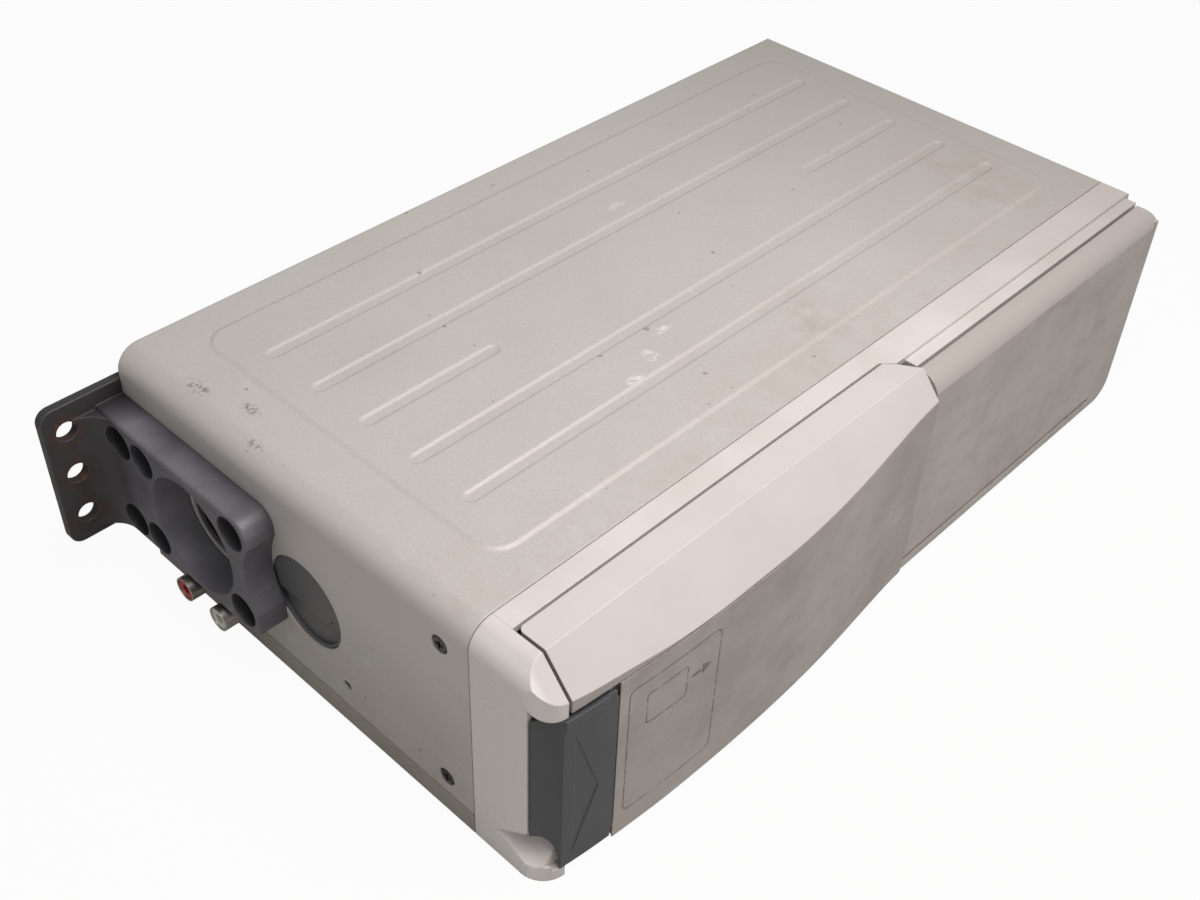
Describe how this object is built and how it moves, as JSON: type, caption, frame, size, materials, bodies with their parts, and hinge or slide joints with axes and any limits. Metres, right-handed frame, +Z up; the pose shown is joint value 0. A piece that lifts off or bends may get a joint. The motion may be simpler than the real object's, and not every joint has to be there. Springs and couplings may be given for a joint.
{
  "type": "car disc changer",
  "caption": "Boxy trunk-mounted disc changer with a bulged sliding front door, corner catch, side bracket and an inner disc magazine and player.",
  "frame": {"origin": "middle of the casing's base, on the surface it rests on", "axes": "+X right along the front, +Y to the rear, +Z up; the door side faces -Y"},
  "size_m": [0.3381, 0.19, 0.0855],
  "materials": {
    "cover_paint": "satin paint with a fine metallic grain",
    "pan_steel": "zinc-plated sheet",
    "frame_plastic": "fine-textured pale plastic",
    "brow_plastic": "fine-textured pale plastic, slightly pink",
    "panel_plastic": "painted front plastic, satin",
    "catch_plastic": "dark blue-grey grained plastic",
    "dial_plastic": "dark grey plastic",
    "bracket_paint": "dark grey paint with rust at the holes",
    "screw_steel": "plated screws",
    "case_screw_black": "blackened screws",
    "jack_black": "black moulding",
    "sleeve_metal": "plated sleeve",
    "jack_white": "white insulator",
    "jack_red": "red insulator",
    "pin_brass": "plated contact",
    "inner_steel": "plated inner frame",
    "magazine_plastic": "black moulding",
    "tray_plastic": "dark grey moulding",
    "disc_face": "mirror-bright disc",
    "white_plastic": "white acetal",
    "mech_plastic": "black mechanism moulding",
    "shaft_steel": "ground steel",
    "rubber_black": "soft rubber",
    "board_green": "laminate",
    "chip_black": "moulded chips",
    "lens_clear": "coated lens"
  },
  "bodies": {
    "casing": {"top_cover": "cover_paint", "base_pan": "pan_steel", "front_bezel": "frame_plastic", "bezel_corner": "frame_plastic", "brow_trim": "brow_plastic", "front_panel": "panel_plastic", "door_rail": "mech_plastic", "bay_bulkhead": "mech_plastic", "mechanism_chassis": "inner_steel", "bay_runners": "white_plastic", "damper_mounts": "rubber_black", "guide_posts": "shaft_steel", "lift_motor": "inner_steel", "circuit_board": "board_green", "board_chips": "chip_black", "board_sockets": "white_plastic", "mounting_bracket": "bracket_paint", "bracket_screws": "screw_steel", "case_screws": "case_screw_black", "jack_housing": "jack_black", "jack_sleeves": "sleeve_metal", "white_jack_core": "jack_white", "red_jack_core": "jack_red", "bus_socket": "jack_black", "bus_pins": "pin_brass"},
    "door": {"sliding_door": "panel_plastic", "door_shoes": "white_plastic", "catch_pin": "shaft_steel", "catch_spring": "shaft_steel"},
    "catch": {"door_catch": "catch_plastic"},
    "magazine": {"magazine_shell": "magazine_plastic", "stored_trays": "tray_plastic", "stored_discs": "disc_face"},
    "loaded_tray": {"play_tray": "tray_plastic", "play_disc": "disc_face"},
    "eject_key": {"eject_button": "catch_plastic"},
    "left_angle_dial": {"left_dial": "dial_plastic"},
    "right_angle_dial": {"right_dial": "dial_plastic"},
    "lift_spindle": {"lift_screw": "shaft_steel", "lift_gear": "white_plastic"},
    "lift_pinion": {"motor_pinion": "white_plastic"},
    "deck": {"lift_deck": "inner_steel", "tray_guides": "mech_plastic", "spindle_motor": "inner_steel", "sled_rod": "shaft_steel", "sled_motor": "inner_steel", "clamp_pin": "shaft_steel"},
    "platter": {"turntable": "mech_plastic"},
    "sled_spindle": {"sled_screw": "shaft_steel"},
    "pickup": {"pickup_carriage": "mech_plastic", "pickup_lens": "lens_clear"},
    "clamp": {"clamp_arm": "inner_steel"},
    "puck": {"clamp_puck": "white_plastic"}
  },
  "joints": [
    {"name": "door_slide", "type": "slide", "parent": "casing", "child": "door", "axis": [1, 0, 0], "range_m": [0, 0.134]},
    {"name": "catch_swing", "type": "hinge", "parent": "door", "child": "catch", "pos_m": [-0.13255, -0.092, 0.035], "axis": [0, 0, 1], "range_deg": [0, 65], "stiffness_Nm_per_rad": 0.01},
    {"name": "magazine_eject", "type": "slide", "parent": "casing", "child": "magazine", "axis": [0, 1, 0], "range_m": [-0.0075, 0]},
    {"name": "tray_slide", "type": "slide", "parent": "magazine", "child": "loaded_tray", "axis": [1, 0, 0], "range_m": [0, 0.145]},
    {"name": "eject_push", "type": "slide", "parent": "casing", "child": "eject_key", "axis": [0, 1, 0], "range_m": [0, 0.0034], "stiffness_N_per_m": 250},
    {"name": "left_dial_turn", "type": "hinge", "parent": "casing", "child": "left_angle_dial", "pos_m": [-0.15325, 0.0055, 0.041], "axis": [1, 0, 0], "range_deg": [0, 90]},
    {"name": "right_dial_turn", "type": "hinge", "parent": "casing", "child": "right_angle_dial", "pos_m": [0.15325, 0.0055, 0.041], "axis": [1, 0, 0], "range_deg": [0, 90]},
    {"name": "elevator_lift", "type": "slide", "parent": "casing", "child": "deck", "axis": [0, 0, 1], "range_m": [-0.02, 0.025]},
    {"name": "lift_screw_turn", "type": "hinge", "parent": "casing", "child": "lift_spindle", "pos_m": [0.07475, 0.0725, 0.04], "axis": [0, 0, 1], "range_deg": [-1802, 1442]},
    {"name": "lift_pinion_turn", "type": "hinge", "parent": "casing", "child": "lift_pinion", "pos_m": [0.08566, 0.0788, 0.006], "axis": [0, 0, 1], "range_deg": [-2882, 3602]},
    {"name": "turntable_spin", "type": "hinge", "parent": "deck", "child": "platter", "pos_m": [0.07275, 0.0025, 0.031], "axis": [0, 0, 1], "continuous": true},
    {"name": "pickup_slide", "type": "slide", "parent": "deck", "child": "pickup", "axis": [1, 0, 0], "range_m": [0, 0.034]},
    {"name": "sled_screw_turn", "type": "hinge", "parent": "deck", "child": "sled_spindle", "pos_m": [0.11275, 0.0245, 0.0265], "axis": [1, 0, 0], "range_deg": [-1, 4082]},
    {"name": "clamp_swing", "type": "hinge", "parent": "deck", "child": "clamp", "pos_m": [0.14345, 0.0025, 0.046], "axis": [0, -1, 0], "range_deg": [0, 5]},
    {"name": "puck_spin", "type": "hinge", "parent": "clamp", "child": "puck", "pos_m": [0.07275, 0.0025, 0.046], "axis": [0, 0, 1], "continuous": true}
  ],
  "couplings": [
    {"joint": "lift_screw_turn", "follows": "elevator_lift", "rad_per_m": -1256.6},
    {"joint": "lift_pinion_turn", "follows": "elevator_lift", "rad_per_m": 2513.3},
    {"joint": "sled_screw_turn", "follows": "pickup_slide", "rad_per_m": 2094.4},
    {"joint": "puck_spin", "follows": "turntable_spin", "ratio": 1}
  ]
}
